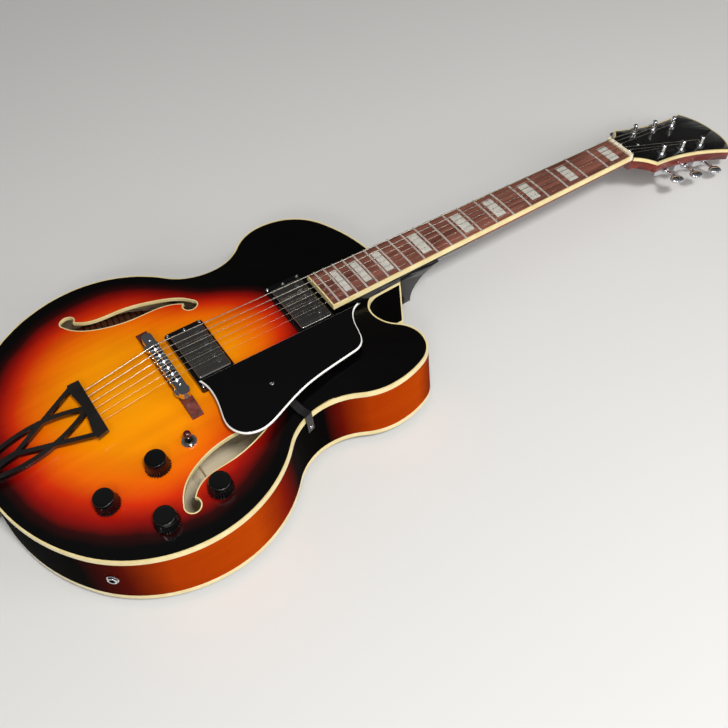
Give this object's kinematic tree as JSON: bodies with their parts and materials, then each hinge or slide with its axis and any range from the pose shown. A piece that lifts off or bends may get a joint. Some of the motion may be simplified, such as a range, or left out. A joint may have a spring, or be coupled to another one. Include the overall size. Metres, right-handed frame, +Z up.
{
  "type": "archtop guitar",
  "caption": "Hollow-body electric archtop guitar with a cutaway, f-holes, floating bridge, trapeze tailpiece and geared tuners; lies on its back.",
  "frame": {"origin": "under the middle of the guitar's length, level with the crown of its back", "axes": "+X to the treble side, +Y along the neck towards the head, +Z up out of the top"},
  "size_m": [0.396, 1.0281, 0.1232],
  "materials": {
    "burst_wood": "gloss lacquer, yellow centre darkening to black edge",
    "back_wood": "gloss lacquer, orange red darkening to black",
    "cream_binding": "gloss cream",
    "brace_wood": "bare",
    "neck_wood": "gloss red brown lacquer, black head face",
    "rosewood": "oiled satin",
    "fret_wire": "polished",
    "pearl": "pearly gloss",
    "bone": "satin",
    "steel_rod": "plain",
    "black_plastic": "gloss",
    "guard_plastic": "gloss black with a white edge line",
    "knob_plastic": "gloss black",
    "black_metal": "satin black",
    "bright_chrome": "polished",
    "dark_chrome": "polished dark",
    "coil": "matt",
    "wire_cover": "matt",
    "string_steel": "bright"
  },
  "bodies": {
    "guitar": {"top_plate": "burst_wood", "back_plate": "back_wood", "rim_sides": "back_wood", "body_bindings": "cream_binding", "inner_bracing": "brace_wood", "end_blocks": "brace_wood", "neck": "neck_wood", "neck_bindings": "cream_binding", "fretboard": "rosewood", "frets": "fret_wire", "fretboard_inlays": "pearl", "nut": "bone", "truss_rod": "steel_rod", "truss_rod_cover": "black_plastic", "bridge_base": "rosewood", "bridge_posts": "bright_chrome", "tail_bracket": "dark_chrome", "strap_buttons": "bright_chrome", "pickup_rings": "black_plastic", "pickguard": "guard_plastic", "pickguard_bracket": "black_metal", "control_bodies": "steel_rod", "control_nuts": "bright_chrome", "output_jack": "bright_chrome", "wiring_harness": "wire_cover", "tuner_housings": "bright_chrome", "trim_screws": "bright_chrome", "strings": "string_steel"},
    "bridge": {"bridge_body": "bright_chrome", "saddle_screws": "bright_chrome"},
    "bass_wheel": {"bass_thumbwheel": "bright_chrome"},
    "treble_wheel": {"treble_thumbwheel": "bright_chrome"},
    "tailpiece_frame": {"tailpiece": "dark_chrome"},
    "neck_pickup": {"neck_pickup_cover": "dark_chrome", "neck_pickup_core": "coil"},
    "bridge_pickup": {"bridge_pickup_cover": "dark_chrome", "bridge_pickup_core": "coil"},
    "switch": {"switch_lever": "bright_chrome"},
    "neck_volume_knob": {"neck_volume_knob": "knob_plastic"},
    "neck_tone_knob": {"neck_tone_knob": "knob_plastic"},
    "bridge_volume_knob": {"bridge_volume_knob": "knob_plastic"},
    "bridge_tone_knob": {"bridge_tone_knob": "knob_plastic"},
    "saddle_1": {"saddle_1": "bright_chrome"},
    "tuner_button_1": {"tuner_button_1": "bright_chrome"},
    "tuner_post_1": {"tuner_post_1": "bright_chrome"},
    "saddle_2": {"saddle_2": "bright_chrome"},
    "tuner_button_2": {"tuner_button_2": "bright_chrome"},
    "tuner_post_2": {"tuner_post_2": "bright_chrome"},
    "saddle_3": {"saddle_3": "bright_chrome"},
    "tuner_button_3": {"tuner_button_3": "bright_chrome"},
    "tuner_post_3": {"tuner_post_3": "bright_chrome"},
    "saddle_4": {"saddle_4": "bright_chrome"},
    "tuner_button_4": {"tuner_button_4": "bright_chrome"},
    "tuner_post_4": {"tuner_post_4": "bright_chrome"},
    "saddle_5": {"saddle_5": "bright_chrome"},
    "tuner_button_5": {"tuner_button_5": "bright_chrome"},
    "tuner_post_5": {"tuner_post_5": "bright_chrome"},
    "saddle_6": {"saddle_6": "bright_chrome"},
    "tuner_button_6": {"tuner_button_6": "bright_chrome"},
    "tuner_post_6": {"tuner_post_6": "bright_chrome"}
  },
  "joints": [
    {"name": "bass_wheel_turn", "type": "hinge", "parent": "bridge", "child": "bass_wheel", "pos_m": [-0.037, -0.28824, 0.1081], "axis": [0, 0, 1], "range_deg": [-433, 1081], "deforming": ["strings"]},
    {"name": "treble_wheel_turn", "type": "hinge", "parent": "bridge", "child": "treble_wheel", "pos_m": [0.037, -0.28824, 0.1081], "axis": [0, 0, 1], "range_deg": [-433, 1081], "deforming": ["strings"]},
    {"name": "bridge_height", "type": "slide", "parent": "guitar", "child": "bridge", "axis": [0, 0, 1], "range_m": [-0.0012, 0.003], "deforming": ["strings"]},
    {"name": "saddle_1_slide", "type": "slide", "parent": "bridge", "child": "saddle_1", "axis": [0, 1, 0], "range_m": [-0.0024, 0.0024], "deforming": ["strings"]},
    {"name": "saddle_2_slide", "type": "slide", "parent": "bridge", "child": "saddle_2", "axis": [0, 1, 0], "range_m": [-0.0024, 0.0024], "deforming": ["strings"]},
    {"name": "saddle_3_slide", "type": "slide", "parent": "bridge", "child": "saddle_3", "axis": [0, 1, 0], "range_m": [-0.0024, 0.0024], "deforming": ["strings"]},
    {"name": "saddle_4_slide", "type": "slide", "parent": "bridge", "child": "saddle_4", "axis": [0, 1, 0], "range_m": [-0.0024, 0.0024], "deforming": ["strings"]},
    {"name": "saddle_5_slide", "type": "slide", "parent": "bridge", "child": "saddle_5", "axis": [0, 1, 0], "range_m": [-0.0024, 0.0024], "deforming": ["strings"]},
    {"name": "saddle_6_slide", "type": "slide", "parent": "bridge", "child": "saddle_6", "axis": [0, 1, 0], "range_m": [-0.0024, 0.0024], "deforming": ["strings"]},
    {"name": "tailpiece_swing", "type": "hinge", "parent": "guitar", "child": "tailpiece_frame", "pos_m": [0, -0.50527, 0.09398], "axis": [1, 0, 0], "range_deg": [0, 8], "deforming": ["strings"]},
    {"name": "neck_pickup_height", "type": "slide", "parent": "guitar", "child": "neck_pickup", "axis": [0, 0.0541, 0.9985], "range_m": [-0.003, 0.002]},
    {"name": "bridge_pickup_height", "type": "slide", "parent": "guitar", "child": "bridge_pickup", "axis": [0, 0.0541, 0.9985], "range_m": [-0.003, 0.002]},
    {"name": "neck_volume_knob_turn", "type": "hinge", "parent": "guitar", "child": "neck_volume_knob", "pos_m": [0.10078, -0.34916, 0.09792], "axis": [0.0655, -0.0213, 0.9976], "range_deg": [-150, 150]},
    {"name": "neck_tone_knob_turn", "type": "hinge", "parent": "guitar", "child": "neck_tone_knob", "pos_m": [0.15591, -0.30875, 0.09178], "axis": [0.1556, 0.0266, 0.9875], "range_deg": [-150, 150]},
    {"name": "bridge_volume_knob_turn", "type": "hinge", "parent": "guitar", "child": "bridge_volume_knob", "pos_m": [0.10879, -0.40867, 0.09406], "axis": [0.097, -0.0934, 0.9909], "range_deg": [-150, 150]},
    {"name": "bridge_tone_knob_turn", "type": "hinge", "parent": "guitar", "child": "bridge_tone_knob", "pos_m": [0.1587, -0.36913, 0.09062], "axis": [0.1491, -0.0479, 0.9877], "range_deg": [-150, 150]},
    {"name": "switch_tilt", "type": "hinge", "parent": "guitar", "child": "switch", "pos_m": [0.09135, -0.30988, 0.09276], "axis": [0.9987, -0.0002, -0.0518], "range_deg": [-11, 11]},
    {"name": "tuner_button_6_turn", "type": "hinge", "parent": "guitar", "child": "tuner_button_6", "pos_m": [-0.026, 0.39308, 0.04423], "axis": [-1, 0, 0], "continuous": true},
    {"name": "tuner_post_6_turn", "type": "hinge", "parent": "guitar", "child": "tuner_post_6", "pos_m": [-0.026, 0.39105, 0.06583], "axis": [0, 0.294, 0.9558], "continuous": true},
    {"name": "tuner_button_1_turn", "type": "hinge", "parent": "guitar", "child": "tuner_button_1", "pos_m": [0.026, 0.39308, 0.04423], "axis": [1, 0, 0], "continuous": true},
    {"name": "tuner_post_1_turn", "type": "hinge", "parent": "guitar", "child": "tuner_post_1", "pos_m": [0.026, 0.39105, 0.06583], "axis": [0, 0.294, 0.9558], "continuous": true},
    {"name": "tuner_button_5_turn", "type": "hinge", "parent": "guitar", "child": "tuner_button_5", "pos_m": [-0.026, 0.42826, 0.03341], "axis": [-1, 0, 0], "continuous": true},
    {"name": "tuner_post_5_turn", "type": "hinge", "parent": "guitar", "child": "tuner_post_5", "pos_m": [-0.026, 0.42622, 0.05501], "axis": [0, 0.294, 0.9558], "continuous": true},
    {"name": "tuner_button_2_turn", "type": "hinge", "parent": "guitar", "child": "tuner_button_2", "pos_m": [0.026, 0.42826, 0.03341], "axis": [1, 0, 0], "continuous": true},
    {"name": "tuner_post_2_turn", "type": "hinge", "parent": "guitar", "child": "tuner_post_2", "pos_m": [0.026, 0.42622, 0.05501], "axis": [0, 0.294, 0.9558], "continuous": true},
    {"name": "tuner_button_4_turn", "type": "hinge", "parent": "guitar", "child": "tuner_button_4", "pos_m": [-0.026, 0.46343, 0.02259], "axis": [-1, 0, 0], "continuous": true},
    {"name": "tuner_post_4_turn", "type": "hinge", "parent": "guitar", "child": "tuner_post_4", "pos_m": [-0.026, 0.46139, 0.04419], "axis": [0, 0.294, 0.9558], "continuous": true},
    {"name": "tuner_button_3_turn", "type": "hinge", "parent": "guitar", "child": "tuner_button_3", "pos_m": [0.026, 0.46343, 0.02259], "axis": [1, 0, 0], "continuous": true},
    {"name": "tuner_post_3_turn", "type": "hinge", "parent": "guitar", "child": "tuner_post_3", "pos_m": [0.026, 0.46139, 0.04419], "axis": [0, 0.294, 0.9558], "continuous": true}
  ],
  "couplings": [
    {"joint": "bass_wheel_turn", "follows": "bridge_height", "rad_per_m": 6283.2},
    {"joint": "treble_wheel_turn", "follows": "bridge_height", "rad_per_m": 6283.2},
    {"joint": "tuner_post_6_turn", "follows": "tuner_button_6_turn", "ratio": 0.071429},
    {"joint": "tuner_post_1_turn", "follows": "tuner_button_1_turn", "ratio": 0.071429},
    {"joint": "tuner_post_5_turn", "follows": "tuner_button_5_turn", "ratio": 0.071429},
    {"joint": "tuner_post_2_turn", "follows": "tuner_button_2_turn", "ratio": 0.071429},
    {"joint": "tuner_post_4_turn", "follows": "tuner_button_4_turn", "ratio": 0.071429},
    {"joint": "tuner_post_3_turn", "follows": "tuner_button_3_turn", "ratio": 0.071429}
  ]
}
